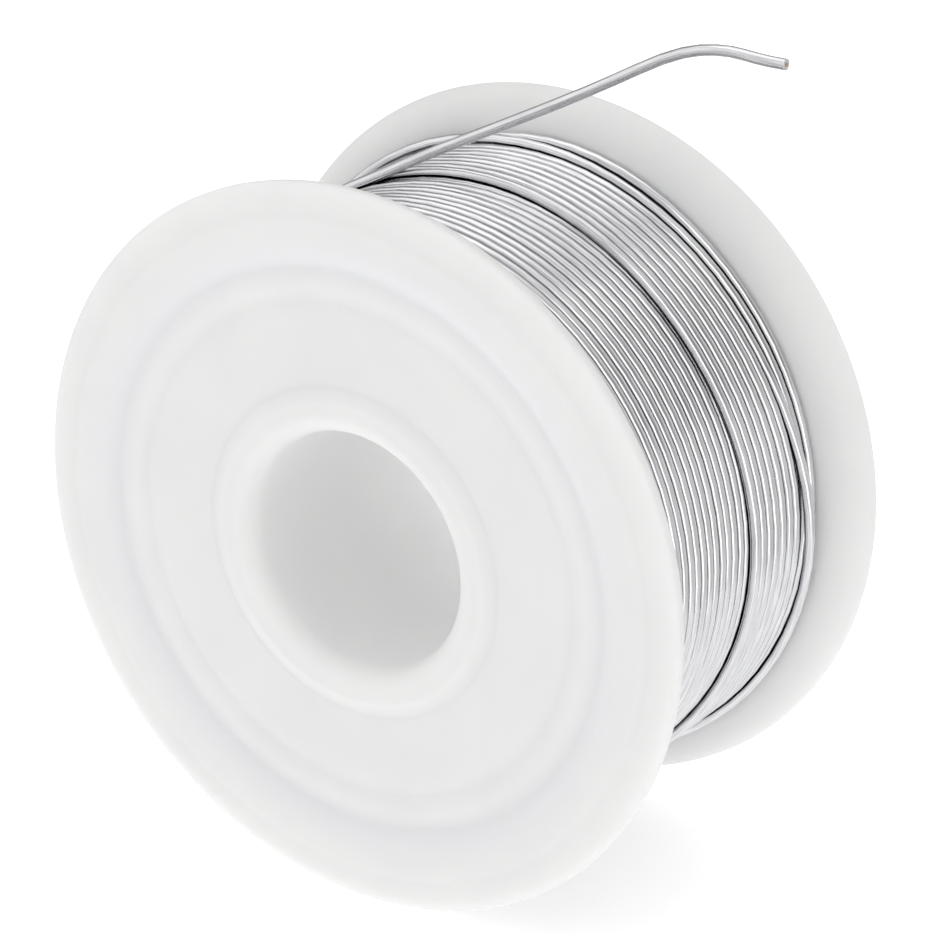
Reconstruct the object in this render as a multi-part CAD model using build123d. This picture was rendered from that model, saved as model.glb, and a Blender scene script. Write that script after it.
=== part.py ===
from build123d import *

import math
import os

# A small spool of soft-solder wire, in millimetres.
# The spool's axis lies along Y, +Z is up, and the origin is the centre of the bore, half way between the flanges.
# "Front" is the flange at -Y. "Outward" is measured along the axis from a rim's widest circle, away from the wire.

# Driving dimensions
wire_diameter = 0.8
flange_radius = 27.5
rim_spacing = 26.7  # between the widest circles of the two rims
bore_radius = 9.0
barrel_radius = 18.4
full_layers = 7  # layers of wire that cross the whole barrel
turn_pitch = 0.82

# The outer face of a flange, from the bore outwards: radius, and height outward of the rim's widest circle
lip_round = 1.5
boss_radius = 12.0
boss_round = 0.6
boss_height = 0.15
web_height = -0.25
web_end = 17.6
groove = (18.8, -0.32)
bead = (19.9, -0.12)
valley = (21.0, -0.16)
crest_start = 24.1
crest_end = 24.7  # the flat land between these radii is what the spool stands on when it is laid down
crest_height = 0.5
crease_radius = 25.3
crease_height = 0.4

# The inner side of a flange, and what the two halves hold between them
flange_depth = 2.7  # from the rim's widest circle in to the face that the wire lies against
flare_start = 24.0  # radius where that face starts to curve outwards into the rim
web_thickness = 1.5
wall = 1.5
hub_wall = 1.8
collar_wall = 1.5
collar_depth = 4.0
spigot_wall = 1.4
spigot_depth = 4.0
seam_from_rim = 3.85  # the bore's seam lies this far inside the rear rim's widest circle

# The start of the wire, which is tucked through the barrel
anchor_angle = 250.0
anchor_hole_radius = 0.6
anchor_from_face = 0.65
anchor_leg = 4.5
anchor_bend = 1.2
anchor_depth = 2.6

# The top layer, which covers only the rear part of the barrel, and the turns that cross over it by the rear flange
top_layer_start = 2.5
crossing_start = 8.9
crossing_rise = 0.6

# The free end of the wire: its plane, then its route up and away from the winding, which it leaves at a tangent
free_end_y = 2.08
free_end_route = [
    (-11.37, free_end_y, 20.86),
    (-4.0, free_end_y, 24.88),
    (3.9, free_end_y, 28.98),
    (10.6, free_end_y, 32.6),
    (16.6, free_end_y, 36.15),
    (20.4, free_end_y, 37.02),
    (23.3, free_end_y, 36.72),
    (25.15, free_end_y, 36.78),
]
arc_share = 0.45  # of the shorter run beside a corner, which its arc may use
flux_core_radius = 0.14

rim_plane = rim_spacing / 2
inner_face = rim_plane - flange_depth
lip_start = rim_plane + boss_height - lip_round
web_inside = rim_plane + web_height - web_thickness
hub_radius = bore_radius + hub_wall
seam = rim_plane - seam_from_rim
barrel_inside = barrel_radius - wall
layer_rise = math.sqrt(wire_diameter**2 - (turn_pitch / 2) ** 2)
winding_radius = barrel_radius + wire_diameter + (full_layers - 1) * layer_rise
top_radius = winding_radius + layer_rise


def revolved(outline):
    """The solid that a closed outline of (radius, place along the axis) makes round the spool's axis."""
    return revolve(make_face(outline), Axis.Y)


def straight_lines(points):
    """Straight edges from each point to the next."""
    return [Line(a, b) for a, b in zip(points, points[1:])]


def flange_outline(side):
    """The edges of one flange from its bore's lip, over the outer face and rim, to its inner face at the barrel.
    side is -1 for the front flange and +1 for the rear one."""

    def at(radius, outward):
        return (radius, side * (rim_plane + outward))

    lip_end = at(bore_radius + lip_round, boss_height)
    boss_end = at(boss_radius - boss_round, boss_height)
    boss_foot = at(boss_radius + boss_round, web_height)
    crease = at(crease_radius, crease_height)
    half_turn = math.sqrt(0.5)
    lip_middle = at(
        bore_radius + lip_round * (1 - half_turn), boss_height - lip_round * (1 - half_turn)
    )
    outward_turn = -90 if side < 0 else 90
    return [
        ThreePointArc(at(bore_radius, boss_height - lip_round), lip_middle, lip_end),
        Line(lip_end, boss_end),
        Spline(boss_end, boss_foot, tangents=[(1, 0), (1, 0)], tangent_scalars=[0.6, 0.6]),
        Line(boss_foot, at(web_end, web_height)),
        Spline(
            at(web_end, web_height),
            at(*groove),
            at(*bead),
            at(*valley),
            at(crest_start, crest_height),
            tangents=[(1, 0), (1, 0)],
        ),
        Line(at(crest_start, crest_height), at(crest_end, crest_height)),
        Line(at(crest_end, crest_height), crease),
        quarter_ellipse(crease, at(flange_radius, 0), outward_turn),
        quarter_ellipse(at(flare_start, -flange_depth), at(flange_radius, 0), -outward_turn),
    ]


def quarter_ellipse(flat_end, nose, turn):
    """A quarter of an ellipse from the nose, where it runs along the axis, to the end where it runs radially."""
    radial, axial = nose[0] - flat_end[0], abs(flat_end[1] - nose[1])
    return EllipticalCenterArc((flat_end[0], nose[1]), radial, axial, arc_size=turn)


def anchor_point(radius):
    """A point on the axis of the hole that the wire's inner end goes through."""
    angle = math.radians(anchor_angle)
    return (radius * math.cos(angle), anchor_from_face - inner_face, radius * math.sin(angle))


def anchor_hole():
    start = anchor_point(barrel_inside - wall)
    outwards = Vector(*anchor_point(barrel_radius + wall)) - Vector(*start)
    return extrude(Plane(start, z_dir=outwards) * Circle(anchor_hole_radius), outwards.length)


def front_spool_half():
    """The front flange with the whole bore tube and the barrel that the wire is wound on, in one moulding."""
    outline = flange_outline(-1) + straight_lines(
        [
            (flare_start, -inner_face),
            (barrel_radius, -inner_face),
            (barrel_radius, inner_face),
            (barrel_inside, inner_face),
            (barrel_inside, -web_inside),
            (hub_radius, -web_inside),
            (hub_radius, seam),
            (bore_radius, seam),
            (bore_radius, -lip_start),
        ]
    )
    return revolved(outline) - anchor_hole()


def rear_spool_half():
    """The rear flange, with a spigot that plugs into the barrel and a collar that grips the bore tube's end."""
    outline = flange_outline(1) + straight_lines(
        [
            (flare_start, inner_face),
            (barrel_inside, inner_face),
            (barrel_inside, inner_face - spigot_depth),
            (barrel_inside - spigot_wall, inner_face - spigot_depth),
            (barrel_inside - spigot_wall, web_inside),
            (hub_radius + collar_wall, web_inside),
            (hub_radius + collar_wall, seam - collar_depth),
            (hub_radius, seam - collar_depth),
            (hub_radius, seam),
            (bore_radius, seam),
            (bore_radius, lip_start),
        ]
    )
    return revolved(outline)


def wound_layers():
    """The outer shape of the full layers of wire, from flange to flange."""
    corners = [
        (barrel_radius, -inner_face),
        (winding_radius, -inner_face),
        (winding_radius, inner_face),
        (barrel_radius, inner_face),
    ]
    return revolved(straight_lines(corners + corners[:1]))


def top_layer():
    """The outer shape of the unfinished top layer and of the turns that cross over it beside the rear flange."""
    crossing_radius = top_radius + crossing_rise
    corners = [
        (winding_radius, top_layer_start),
        (top_radius, top_layer_start),
        (top_radius, crossing_start),
        (crossing_radius, crossing_start),
        (crossing_radius, inner_face),
        (winding_radius, inner_face),
    ]
    return revolved(straight_lines(corners + corners[:1]))


def bend_radii(route):
    """The radius of each corner's arc: as large as the shorter run beside it allows."""
    points = [Vector(*p) for p in route]
    radii = []
    for a, b, c in zip(points, points[1:], points[2:]):
        turn = (b - a).get_angle(c - b)
        shorter = min((b - a).length, (c - b).length)
        radii.append(arc_share * shorter / math.tan(math.radians(turn / 2)))
    return radii


def round_tube(route, radii, outside, inside=0):
    """A tube of these radii, or a rod, on straight runs joined by tangent arcs."""
    path = FilletPolyline(*route, radius=radii)
    section = Circle(outside) - Circle(inside) if inside else Circle(outside)
    solid = sweep(Plane(path @ 0, z_dir=path % 0) * section, path=path)
    expected = math.pi * (outside**2 - inside**2) * path.length
    print(f"  {path.length:.2f} mm, volume {solid.volume / expected:.4f} of section times length")
    print(f"  bend radii {[round(radius, 1) for radius in radii]}")
    return solid


def free_end():
    """The end that is pulled off for use: it leaves the winding at a tangent and bends over near its tip."""
    return round_tube(free_end_route, bend_radii(free_end_route), wire_diameter / 2, flux_core_radius)


def flux_core():
    """The thread of flux inside the alloy, modelled along the free end."""
    return round_tube(free_end_route, bend_radii(free_end_route), flux_core_radius)


def inner_end():
    """The start of the wire: a short leg bent over inside the barrel, then out through the anchor hole."""
    corner = anchor_point(barrel_inside - anchor_depth)
    leg_end = (corner[0], corner[1] + anchor_leg, corner[2])
    return round_tube([leg_end, corner, anchor_point(barrel_radius)], [anchor_bend], wire_diameter / 2)


NODES = {
    "front_spool_half": front_spool_half,
    "rear_spool_half": rear_spool_half,
    "solder_wound_layers": wound_layers,
    "solder_top_layer": top_layer,
    "solder_free_end": free_end,
    "flux_core": flux_core,
    "solder_inner_end": inner_end,
}

os.makedirs("parts", exist_ok=True)
for node, make in NODES.items():
    solid = make()
    solid.label = node
    export_step(solid, f"parts/{node}.step")
    print(f"{node}: {solid.volume:.1f} mm3")
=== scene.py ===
import math

import bpy
from mathutils import Matrix, Vector


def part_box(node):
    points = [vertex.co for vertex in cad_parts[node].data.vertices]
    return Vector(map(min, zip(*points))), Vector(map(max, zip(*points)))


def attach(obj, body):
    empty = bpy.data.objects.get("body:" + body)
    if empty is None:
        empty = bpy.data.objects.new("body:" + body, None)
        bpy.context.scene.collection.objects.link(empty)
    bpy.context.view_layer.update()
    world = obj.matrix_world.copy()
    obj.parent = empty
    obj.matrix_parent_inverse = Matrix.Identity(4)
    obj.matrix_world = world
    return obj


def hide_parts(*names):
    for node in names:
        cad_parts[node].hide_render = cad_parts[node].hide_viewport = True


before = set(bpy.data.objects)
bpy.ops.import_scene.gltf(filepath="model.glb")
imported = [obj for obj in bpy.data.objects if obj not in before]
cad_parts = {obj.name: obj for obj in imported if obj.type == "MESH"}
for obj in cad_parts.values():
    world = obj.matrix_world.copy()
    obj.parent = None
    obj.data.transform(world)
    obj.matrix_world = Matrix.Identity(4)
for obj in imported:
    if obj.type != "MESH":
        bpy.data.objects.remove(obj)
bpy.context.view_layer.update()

# A small spool of soft-solder wire, in metres.
# The spool's axis lies along Y, +Z is up, and the front flange is the one at -Y.
# "turn" counts the turns of wire from its inner end: whole numbers are a full circle apart.
# An azimuth is in degrees from -Y towards +X, and an elevation is in degrees over the horizon.

MM = 0.001

# Taken from the CAD model
floor_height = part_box("front_spool_half")[0].z
bore_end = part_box("rear_spool_half")[1].y
layers_low, layers_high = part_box("solder_wound_layers")

# The wire, as part.py has it
wire_diameter = 0.8 * MM
barrel_radius = 18.4 * MM
full_layers = 7
whole_top_turns = 10  # of the unfinished layer, before the part of a turn to where the wire leaves it
turn_pitch = 0.82 * MM
anchor_angle = math.radians(250)
anchor_depth = 4.1 * MM  # from the barrel's outer face in to the wire's tucked leg
anchor_leg = 4.5 * MM
anchor_place = layers_low.y + 0.65 * MM
free_end_y = 2.08 * MM
free_end_route = [
    Vector((-11.37 * MM, free_end_y, 20.86 * MM)),
    Vector((-4.0 * MM, free_end_y, 24.88 * MM)),
    Vector((3.9 * MM, free_end_y, 28.98 * MM)),
    Vector((10.6 * MM, free_end_y, 32.6 * MM)),
    Vector((16.6 * MM, free_end_y, 36.15 * MM)),
    Vector((20.4 * MM, free_end_y, 37.02 * MM)),
    Vector((23.3 * MM, free_end_y, 36.72 * MM)),
    Vector((25.13 * MM, free_end_y, 36.78 * MM)),  # 0.02 mm short, so that the flux shows on the cut end
]

# Worked out from those
wire_radius = wire_diameter / 2
layer_rise = math.sqrt(wire_diameter**2 - (turn_pitch / 2) ** 2)
first_layer = barrel_radius + wire_radius
end_place = layers_high.y - wire_radius
turns_across = round(2 * end_place / turn_pitch)
turns_per_layer = turns_across + 1
leaving_angle = math.atan2(free_end_route[0].z, free_end_route[0].x)
top_layer_turn = full_layers * turns_per_layer
top_layer_turns = whole_top_turns + (anchor_angle - leaving_angle) / math.tau
last_turn = top_layer_turn + top_layer_turns

# How finely the wire is drawn
hidden_points = 12  # points of the spline in each turn that later layers cover
shown_points = 24
curve_steps = 3
tube_sides = 12
first_point_turn = 0.1  # the spline's first point on the barrel is at least this far past the anchor hole

# Each full layer ends with one turn beside the flange. The wire climbs to the next layer in this part of it.
climb_start = 0.5
climb_turns = 0.5

# How unevenly it is wound: waves of (cycles in a turn, share of the whole), and how far they move the wire
waves = [(0.382, 0.5), (1.37, 0.3), (2.71, 0.2)]
wave_phase = 3  # keeps the wander along the axis and the one outwards out of step
uneven_along = 0.02 * MM
uneven_outwards = 0.03 * MM

# Beside the rear flange the first turns of the unfinished top layer ride over each other.
# Each row: turns since that layer began, place along the axis, and height over the layer's own level.
# Places and heights in this table and the next are in millimetres.
crossing_turns = [
    (0.00, 10.25, 0.0),
    (0.40, 10.25, 0.1),
    (0.44, 10.25, 0.85),
    (0.49, 10.25, 0.85),
    (0.54, 10.25, 0.42),
    (0.66, 10.25, 0.35),
    (0.73, 10.25, 0.0),
    (0.95, 10.25, 0.0),
    (1.20, 9.85, 0.72),
    (1.39, 9.85, 0.72),
    (1.44, 9.58, 0.50),
    (1.49, 9.47, 0.35),
    (1.53, 9.42, 0.15),
    (1.68, 9.42, 0.15),
    (1.76, 9.40, 0.0),
    (1.85, 9.40, 0.0),
    (2.30, 8.85, 0.0),
    (2.45, 8.85, 0.0),
    (2.52, 8.60, 0.0),
    (2.61, 8.48, 0.0),
    (2.67, 9.00, 0.70),
    (2.69, 9.35, 0.80),
    (2.73, 9.85, 0.70),
    (2.85, 10.05, 0.75),
    (3.00, 9.00, 0.80),
    (3.10, 8.20, 0.55),
    (3.20, 8.00, 0.0),
]

# The rest of that layer. Each row: the turn, and its place up the back, at the right, and past the right.
# It has those places at these parts of the turn.
back_parts = (0.30, 0.45)
right_part = 0.57
past_parts = (0.72, 0.85)
regular_turns = [
    (3, 8.00, 7.58, 8.58),
    (4, 7.15, 6.74, 7.60),
    (5, 6.30, 5.88, 6.65),
    (6, 5.45, 5.00, 5.65),
    (7, 4.60, 4.12, 4.77),
    (8, 3.75, 3.25, 3.87),
    (9, 2.90, 2.42, 3.00),
]

# What the polished wire reflects: an even room, a white table, and these lighter and darker panels.
# Half widths, half heights and soft edges are tangents of angles.
room_level = 0.72
table_level = 1.05
table_edge = (-0.52, -0.46)  # sines of the elevations between which the table fades into the room
panels = [
    # Dark, at the right: it draws the lines between the turns
    dict(azimuth=95, elevation=37, tilt=0, half_width=0.50, half_height=0.36, edge=0.25, level=0.33),
    # Bright, a slanted strip beside the camera: it gives the turns their highlights
    dict(azimuth=48, elevation=14, tilt=20, half_width=0.20, half_height=1.05, edge=0.14, level=2.2),
    # Light, high at the left and lower at the left
    dict(azimuth=-115, elevation=68, tilt=0, half_width=0.60, half_height=0.42, edge=0.30, level=1.35),
    dict(azimuth=-62, elevation=20, tilt=0, half_width=0.55, half_height=0.42, edge=0.30, level=1.05),
    # Dark, behind at the left
    dict(azimuth=-138, elevation=18, tilt=0, half_width=0.50, half_height=0.50, edge=0.30, level=0.30),
]

# The camera, from a fit to the outlines of the two flanges in the photograph
camera_azimuth = 35.04
camera_elevation = 24.2
camera_distance = 259.2 * MM
camera_target = Vector((1.474, 0, 1.737)) * MM
camera_lens = 134.3


# The wire's course


def smooth(x):
    """0 below 0, 1 above 1, and a smooth rise between."""
    x = min(max(x, 0), 1)
    return x * x * (3 - 2 * x)


def between(table, x):
    """The value at x of a short table of (x, value...) rows, eased from each row to the next."""
    for low, high in zip(table, table[1:]):
        if x <= high[0]:
            share = smooth((x - low[0]) / (high[0] - low[0]))
            return [a + (b - a) * share for a, b in zip(low[1:], high[1:])]
    return list(table[-1][1:])


def unevenness(turn, seed):
    """A slow wander between -1 and 1 along the wire, which also differs from each turn to the next."""
    return sum(share * math.sin(math.tau * rate * turn + seed * (wave_phase + rate)) for rate, share in waves)


def top_layer_rows():
    """The unfinished layer's whole course, as rows like those of crossing_turns but in metres."""
    rows = list(crossing_turns)
    for turn, back, right, past in regular_turns:
        rows += [(turn + part, back, 0.0) for part in back_parts]
        rows.append((turn + right_part, right, 0.0))
        rows += [(turn + part, past, 0.0) for part in past_parts]
    rows.append((top_layer_turns, free_end_y / MM, 0.0))
    return [(turn, place * MM, lift * MM) for turn, place, lift in rows]


def wire_place(turn, top_rows):
    """(distance from the axis, place along the axis) of the wire's centre at a turn."""
    outwards = unevenness(turn, 2) * uneven_outwards
    if turn >= top_layer_turn:
        place, lift = between(top_rows, turn - top_layer_turn)
        return first_layer + full_layers * layer_rise + lift + outwards, place
    layer = int(turn // turns_per_layer)
    into_layer = turn - layer * turns_per_layer
    along = min(into_layer, turns_across) / turns_across
    climb = smooth((into_layer - turns_across - climb_start) / climb_turns)
    direction = 1 if layer % 2 == 0 else -1
    place = direction * end_place * (2 * along - 1) + unevenness(turn, 1) * uneven_along
    return first_layer + (layer + climb) * layer_rise + outwards, place


def round_axis(radius, place, angle):
    """The point at a radius, a place along the spool's axis and an angle round it."""
    return Vector((radius * math.cos(angle), place, radius * math.sin(angle)))


def winding_points():
    """The spline's points for all the wound turns, on circles a little outside the wire's own line.
    The spline touches the line between two points half way along it.
    So the points go on to half a step past the last turn."""
    top_rows = top_layer_rows()
    first_shown_turn = top_layer_turn - turns_per_layer - 1
    points = []
    turn = last_turn + 0.5 / shown_points
    while turn > first_point_turn:
        per_turn = shown_points if turn > first_shown_turn else hidden_points
        radius, place = wire_place(min(turn, last_turn), top_rows)
        angle = anchor_angle - turn * math.tau
        points.append(round_axis(radius / math.cos(math.pi / per_turn), place, angle))
        turn -= 1 / per_turn
    return points[::-1]


def inner_end_points():
    """The spline's points for the leg inside the barrel and the way out through the anchor hole."""
    inside = barrel_radius - anchor_depth
    return [
        round_axis(inside, anchor_place + anchor_leg, anchor_angle),
        round_axis(inside, anchor_place + anchor_leg / 2, anchor_angle),
        round_axis(inside, anchor_place, anchor_angle),
        round_axis(barrel_radius - anchor_depth / 3, anchor_place, anchor_angle),
        round_axis(first_layer, anchor_place, anchor_angle),
    ]


# Meshes


def spline_curve(name, points):
    """A curve of one open quadratic NURBS spline that has these points as its control points."""
    curve = bpy.data.curves.new(name, "CURVE")
    curve.dimensions = "3D"
    curve.resolution_u = curve_steps
    spline = curve.splines.new("NURBS")
    spline.points.add(len(points) - 1)
    for point, place in zip(spline.points, points):
        point.co = (*place, 1)
    spline.order_u = 3
    spline.use_endpoint_u = True
    spline.resolution_u = curve_steps
    return curve


def line_of(curve):
    """The points of a curve's own smooth line, in order."""
    holder = bpy.data.objects.new(curve.name, curve)
    bpy.context.scene.collection.objects.link(holder)
    bpy.context.view_layer.update()
    mesh = bpy.data.meshes.new_from_object(holder.evaluated_get(bpy.context.evaluated_depsgraph_get()))
    points = [vertex.co.copy() for vertex in mesh.vertices]
    bpy.data.objects.remove(holder)
    bpy.data.meshes.remove(mesh)
    return points


def with_close_ends(line, step=0.03 * MM):
    """The line with one more point close to each end, so that only the cut edges are shaded round."""
    second = line[0] + (line[1] - line[0]).normalized() * step
    last_but_one = line[-1] + (line[-2] - line[-1]).normalized() * step
    return [line[0], second] + line[1:-1] + [last_but_one, line[-1]]


def tube_rings(line, radius, sides):
    """The vertices of a tube round a line, ring after ring, with as little twist as the line allows."""
    tangents = [(b - a).normalized() for a, b in zip([line[0]] + line[:-1], line[1:] + [line[-1]])]
    side = tangents[0].orthogonal().normalized()
    vertices = []
    for i, (centre, tangent) in enumerate(zip(line, tangents)):
        if i:
            side = tangents[i - 1].rotation_difference(tangent) @ side
        side = (side - tangent * side.dot(tangent)).normalized()
        up = tangent.cross(side)
        for k in range(sides):
            turn = math.tau * k / sides
            vertices.append(centre + radius * (math.cos(turn) * side + math.sin(turn) * up))
    return vertices


def tube_mesh(name, line, radius, sides):
    """A closed tube round a line of points, with a UV map of (share of the way round, metres along)."""
    along = [0.0]
    for a, b in zip(line, line[1:]):
        along.append(along[-1] + (b - a).length)
    faces = []
    uvs = []
    for i in range(len(line) - 1):
        for k in range(sides):
            a, b = i * sides + k, i * sides + (k + 1) % sides
            faces.append((a, b, b + sides, a + sides))
            low, high = k / sides, (k + 1) / sides
            uvs += [(low, along[i]), (high, along[i]), (high, along[i + 1]), (low, along[i + 1])]
    last = (len(line) - 1) * sides
    faces.append(tuple(range(sides))[::-1])
    faces.append(tuple(range(last, last + sides)))
    uvs += [(0, along[0])] * sides + [(0, along[-1])] * sides
    mesh = bpy.data.meshes.new(name)
    mesh.from_pydata([tuple(vertex) for vertex in tube_rings(line, radius, sides)], [], faces)
    layer = mesh.uv_layers.new(name="along_wire")
    layer.data.foreach_set("uv", [x for uv in uvs for x in uv])
    mesh.shade_smooth()
    for cap in mesh.polygons[-2:]:
        cap.use_smooth = False
    return mesh


# Materials


def grey(level):
    return (level, level, level, 1.0)


class Recipe:
    """A node tree, with short ways to add nodes and join them.
    A Mix node's sockets go by number: 2 and 3 are its two numbers, 6 and 7 its two colours."""

    def __init__(self, owner):
        self.owner = owner
        owner.use_nodes = True
        self.tree = owner.node_tree
        self.coordinates = self.tree.nodes.new("ShaderNodeTexCoord")

    def put(self, socket, value):
        """Join another node's socket to this one, or give this one a plain value."""
        if isinstance(value, bpy.types.NodeSocket):
            self.tree.links.new(value, socket)
        else:
            socket.default_value = value

    def surface(self, **values):
        """Fill in the material's main shader, by the names of its inputs with _ for each space."""
        shader = self.tree.nodes["Principled BSDF"]
        for name, value in values.items():
            self.put(shader.inputs[name.replace("_", " ")], value)

    def add(self, kind, inputs, **settings):
        node = self.tree.nodes.new("ShaderNode" + kind)
        for name, value in settings.items():
            setattr(node, name, value)
        for key, value in inputs.items():
            self.put(node.inputs[key], value)
        return node

    def noise(self, vector, scale, detail):
        return self.add("TexNoise", {"Vector": vector, "Scale": scale, "Detail": detail}).outputs["Fac"]

    def maths(self, operation, a, b=0.0):
        return self.add("Math", {0: a, 1: b}, operation=operation).outputs[0]

    def dot(self, a, b):
        return self.add("VectorMath", {0: a, 1: b}, operation="DOT_PRODUCT").outputs["Value"]

    def fade(self, value, low, high, result_low=0.0, result_high=1.0):
        """result_low below low, result_high above high, and a smooth change between."""
        inputs = {
            "Value": value,
            "From Min": low,
            "From Max": high,
            "To Min": result_low,
            "To Max": result_high,
        }
        return self.add("MapRange", inputs, interpolation_type="SMOOTHSTEP").outputs[0]

    def within(self, value, half, edge):
        """1 where value lies within half of zero, falling to 0 over edge."""
        return self.fade(self.maths("ABSOLUTE", value), half - edge / 2, half + edge / 2, 1.0, 0.0)

    def mix(self, share, a, b):
        """Colour a where share is 0 and b where it is 1."""
        return self.add("Mix", {0: share, 6: a, 7: b}, data_type="RGBA").outputs[2]

    def blend(self, share, a, b):
        """Number a where share is 0 and b where it is 1."""
        return self.add("Mix", {0: share, 2: a, 3: b}, data_type="FLOAT").outputs[0]

    def bump(self, height, distance, strength=1.0, normal=None):
        inputs = {"Height": height, "Distance": distance, "Strength": strength}
        if normal:
            inputs["Normal"] = normal
        return self.add("Bump", inputs).outputs[0]


def spool_plastic():
    """White moulded plastic, a little translucent, with soft corners, a fine grain and faint flow marks.
    A ring at the foot of the rim is painted slightly cooler: painted light, for the bluish light seen through
    the plastic there."""
    white = (0.793, 0.793, 0.79, 1)
    flow_mark = grey(0.778)
    # Painted light: the cooler tint for the light seen through the plastic in a ring at the foot of the rim
    painted_cool_light = (0.775, 0.775, 0.787, 1)
    ring_radius = 21.9 * MM
    ring_half_width = 1.3 * MM
    ring_edge = 1.8 * MM
    recipe = Recipe(bpy.data.materials.new("spool_plastic"))
    place = recipe.coordinates.outputs["Object"]
    grain = recipe.noise(place, scale=6000, detail=2)
    flow = recipe.noise(place, scale=160, detail=2)
    axes = recipe.add("SeparateXYZ", {0: place})
    flat = recipe.add("CombineXYZ", {0: axes.outputs[0], 1: 0.0, 2: axes.outputs[2]}).outputs[0]
    radius = recipe.add("VectorMath", {0: flat}, operation="LENGTH").outputs["Value"]
    painted_light_ring = recipe.within(recipe.maths("SUBTRACT", radius, ring_radius), ring_half_width, ring_edge)
    colour = recipe.mix(recipe.fade(flow, 0.3, 0.7), flow_mark, white)
    # Painted light: a cooler tint in a ring at the foot of the rim, standing in for light seen through the
    # plastic
    colour = recipe.mix(painted_light_ring, colour, painted_cool_light)
    soft_corners = recipe.add("Bevel", {"Radius": 0.6 * MM}, samples=6).outputs[0]
    recipe.surface(
        Base_Color=colour,
        Roughness=recipe.fade(grain, 0.2, 0.8, result_low=0.40, result_high=0.52),
        Subsurface_Weight=1.0,
        Subsurface_Scale=1.5 * MM,
        Subsurface_Radius=(1.0, 0.95, 0.9),
        Normal=recipe.bump(grain, distance=0.004 * MM, strength=0.5, normal=soft_corners),
    )
    return recipe.owner


def solder():
    """Bright drawn solder, with fine marks along the wire and slow patches of tarnish.
    The grooves between the turns are painted near black, a painted shade for where the turns hide each other."""
    bright = (0.84, 0.84, 0.85, 1)
    streak = (0.68, 0.68, 0.70, 1)
    tarnish = (0.50, 0.50, 0.53, 1)
    tarnish_share = 0.35
    # Painted shade: the near-black colour for the grooves between the turns
    painted_groove_shade = (0.05, 0.05, 0.055, 1)
    groove_reach = 0.3 * MM
    streak_height = 0.2  # as a share of a dent's
    recipe = Recipe(bpy.data.materials.new("solder_alloy"))
    split = recipe.add("SeparateXYZ", {0: recipe.coordinates.outputs["UV"]})
    turn = recipe.maths("MULTIPLY", split.outputs[0], math.tau)
    along = recipe.maths("MULTIPLY", split.outputs[1], 1 / MM)
    round_x = recipe.maths("COSINE", turn)
    round_y = recipe.maths("SINE", turn)

    def marks(length, scale, detail):
        """Noise that is longer along the wire than round it, by this many millimetres to a unit."""
        stretched = recipe.maths("DIVIDE", along, length)
        place = recipe.add("CombineXYZ", {0: round_x, 1: round_y, 2: stretched}).outputs[0]
        return recipe.noise(place, scale, detail)

    streaks = marks(length=12.0, scale=5.0, detail=3)
    patches = marks(length=9.0, scale=1.5, detail=2)
    dents = marks(length=2.0, scale=1.2, detail=1)
    occlusion = recipe.add("AmbientOcclusion", {"Distance": groove_reach}, only_local=True, samples=8)
    patchiness = recipe.fade(patches, 0.45, 0.75, result_low=0.0, result_high=tarnish_share)
    colour = recipe.mix(recipe.fade(streaks, 0.35, 0.65), streak, bright)
    colour = recipe.mix(patchiness, colour, tarnish)
    # Painted shade: the colour turns near black where ambient occlusion finds the grooves between the turns
    colour = recipe.mix(recipe.fade(occlusion.outputs["AO"], 0.48, 0.74), painted_groove_shade, colour)
    height = recipe.maths("ADD", recipe.maths("MULTIPLY", streaks, streak_height), dents)
    recipe.surface(
        Base_Color=colour,
        Metallic=1.0,
        Roughness=recipe.fade(streaks, 0.3, 0.7, result_low=0.16, result_high=0.28),
        Normal=recipe.bump(height, distance=0.010 * MM, strength=0.5),
    )
    return recipe.owner


def flux():
    """Dark amber rosin, which shows as a dot on the wire's cut end."""
    dark_amber = (0.30, 0.16, 0.05, 1)
    amber = (0.42, 0.24, 0.09, 1)
    recipe = Recipe(bpy.data.materials.new("flux"))
    grain = recipe.noise(recipe.coordinates.outputs["Object"], scale=9000, detail=2)
    recipe.surface(
        Base_Color=recipe.mix(grain, dark_amber, amber),
        Roughness=0.3,
        Normal=recipe.bump(grain, distance=0.01 * MM),
    )
    return recipe.owner


def pale_floor():
    """A white table, lit a little from below as a product photographer's is."""
    recipe = Recipe(bpy.data.materials.new("pale_floor"))
    grain = recipe.noise(recipe.coordinates.outputs["Object"], scale=900, detail=3)
    recipe.surface(
        Base_Color=recipe.mix(grain, grey(0.93), grey(0.95)),
        Roughness=0.7,
        Emission_Color=grey(1.0),
        Emission_Strength=0.42,
    )
    return recipe.owner


# The pieces


def dress(node, material):
    """Give a node carried over from CAD its material."""
    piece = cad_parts[node]
    piece.data.materials.clear()
    piece.data.materials.append(material)
    return piece


def solder_wire(flux_core):
    """The whole wire as one piece, from its tucked inner end, round every turn, to its free tip."""
    points = inner_end_points() + winding_points() + free_end_route[1:]
    line = line_of(spline_curve("wire_route", points))
    mesh = tube_mesh("solder_wire", with_close_ends(line), wire_radius, tube_sides)
    wire = bpy.data.objects.new("solder_wire", mesh)
    bpy.context.scene.collection.objects.link(wire)
    wire.data.materials.append(solder())
    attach(wire, "root")
    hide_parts("solder_wound_layers", "solder_top_layer", "solder_free_end", "solder_inner_end")


# Floor, light and camera


def from_azimuth(azimuth, elevation, distance=1.0):
    """A point this far from the spool's centre."""
    a, e = math.radians(azimuth), math.radians(elevation)
    return Vector((math.sin(a) * math.cos(e), -math.cos(a) * math.cos(e), math.sin(e))) * distance


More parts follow.
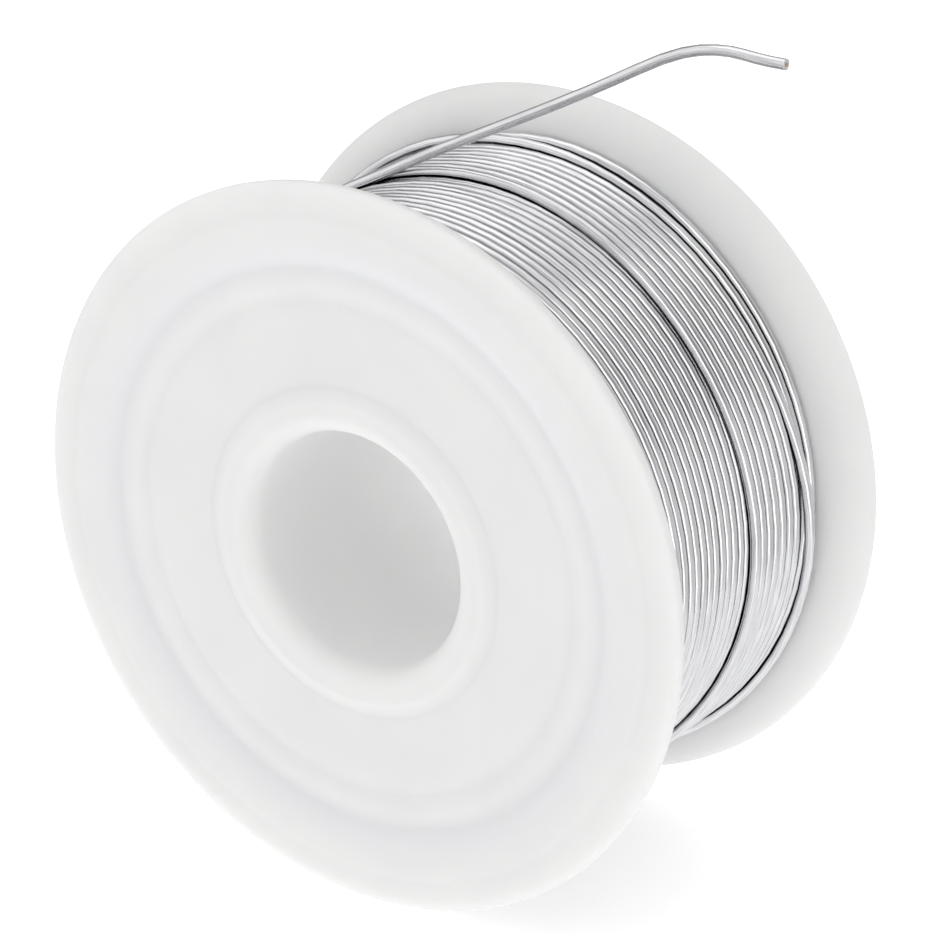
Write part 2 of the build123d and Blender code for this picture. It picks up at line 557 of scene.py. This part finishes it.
def floor_plane(half_size=3.0):
    """A white square that the spool stands on, which the polished wire doesn't reflect."""
    mesh = bpy.data.meshes.new("floor")
    corners = [(x * half_size, y * half_size, 0) for x, y in ((-1, -1), (1, -1), (1, 1), (-1, 1))]
    mesh.from_pydata(corners, [], [(0, 1, 2, 3)])
    mesh.materials.append(pale_floor())
    plane = bpy.data.objects.new("floor", mesh)
    plane.location.z = floor_height
    plane.visible_glossy = False
    bpy.context.scene.collection.objects.link(plane)


def softbox(name, place, size, power):
    """A rectangular light that faces the spool's centre and isn't seen in the polished wire."""
    light = bpy.data.lights.new(name, "AREA")
    light.shape = "RECTANGLE"
    light.size, light.size_y = size
    light.energy = power
    holder = bpy.data.objects.new(name, light)
    holder.location = place
    holder.rotation_euler = (-Vector(place)).to_track_quat("-Z", "Y").to_euler()
    holder.visible_glossy = False
    holder.visible_camera = False
    bpy.context.scene.collection.objects.link(holder)


def with_panel(recipe, direction, seen, azimuth, elevation, tilt, half_width, half_height, edge, level):
    """What is seen in a direction once a rectangle of the surroundings has this level of its own."""
    middle = from_azimuth(azimuth, elevation)
    horizontal = Vector((math.cos(math.radians(azimuth)), math.sin(math.radians(azimuth)), 0))
    across = Matrix.Rotation(math.radians(tilt), 3, middle) @ horizontal
    upwards = across.cross(middle)
    depth = recipe.dot(direction, tuple(middle))
    x = recipe.maths("DIVIDE", recipe.dot(direction, tuple(across)), depth)
    y = recipe.maths("DIVIDE", recipe.dot(direction, tuple(upwards)), depth)
    inside = recipe.maths("MULTIPLY", recipe.within(x, half_width, edge), recipe.within(y, half_height, edge))
    in_front = recipe.fade(depth, 0.0, 0.1)
    return recipe.blend(recipe.maths("MULTIPLY", inside, in_front), seen, level)


def studio_world(even_light=0.65):
    """An even white world for all but gloss, which sees the room's panels and the white table instead.
    The camera sees it as pure white, so no horizon shows."""
    world = bpy.data.worlds.new("studio")
    recipe = Recipe(world)
    direction = recipe.coordinates.outputs["Generated"]
    height = recipe.add("SeparateXYZ", {0: direction}).outputs[2]
    seen = room_level
    for shape in panels:
        seen = with_panel(recipe, direction, seen, **shape)
    seen = recipe.blend(recipe.fade(height, *table_edge), table_level, seen)
    ray = recipe.add("LightPath", {}).outputs
    strength = recipe.blend(ray["Is Glossy Ray"], even_light, seen)
    strength = recipe.blend(ray["Is Camera Ray"], strength, 1.0)
    background = recipe.tree.nodes["Background"]
    recipe.put(background.inputs["Color"], grey(1.0))
    recipe.put(background.inputs["Strength"], strength)
    bpy.context.scene.world = world


def product_camera():
    """The camera at the photograph's viewing angle."""
    back = from_azimuth(camera_azimuth, camera_elevation)
    camera = bpy.data.cameras.new("camera")
    camera.lens = camera_lens
    camera.clip_start = 10 * MM
    holder = bpy.data.objects.new("camera", camera)
    holder.location = camera_target + back * camera_distance
    holder.rotation_euler = (-back).to_track_quat("-Z", "Y").to_euler()
    bpy.context.scene.collection.objects.link(holder)
    bpy.context.scene.camera = holder


plastic = spool_plastic()
dress("front_spool_half", plastic)
dress("rear_spool_half", plastic)
solder_wire(dress("flux_core", flux()))

floor_plane()
studio_world()
softbox("top_light", place=(0.05, -0.2, 0.8), size=(0.9, 0.9), power=1.8)
softbox("left_light", place=(-0.7, -0.7, 0.35), size=(0.8, 0.6), power=0.75)
softbox("front_fill", place=from_azimuth(46, 6, 0.7), size=(0.4, 0.3), power=0.45)
softbox("back_light", place=from_azimuth(205, 25, 0.8), size=(0.7, 0.6), power=0.6)
softbox("bore_light", place=(0, bore_end, 0), size=(12 * MM, 12 * MM), power=0.0006)
bpy.context.scene.view_settings.view_transform = "Standard"
product_camera()
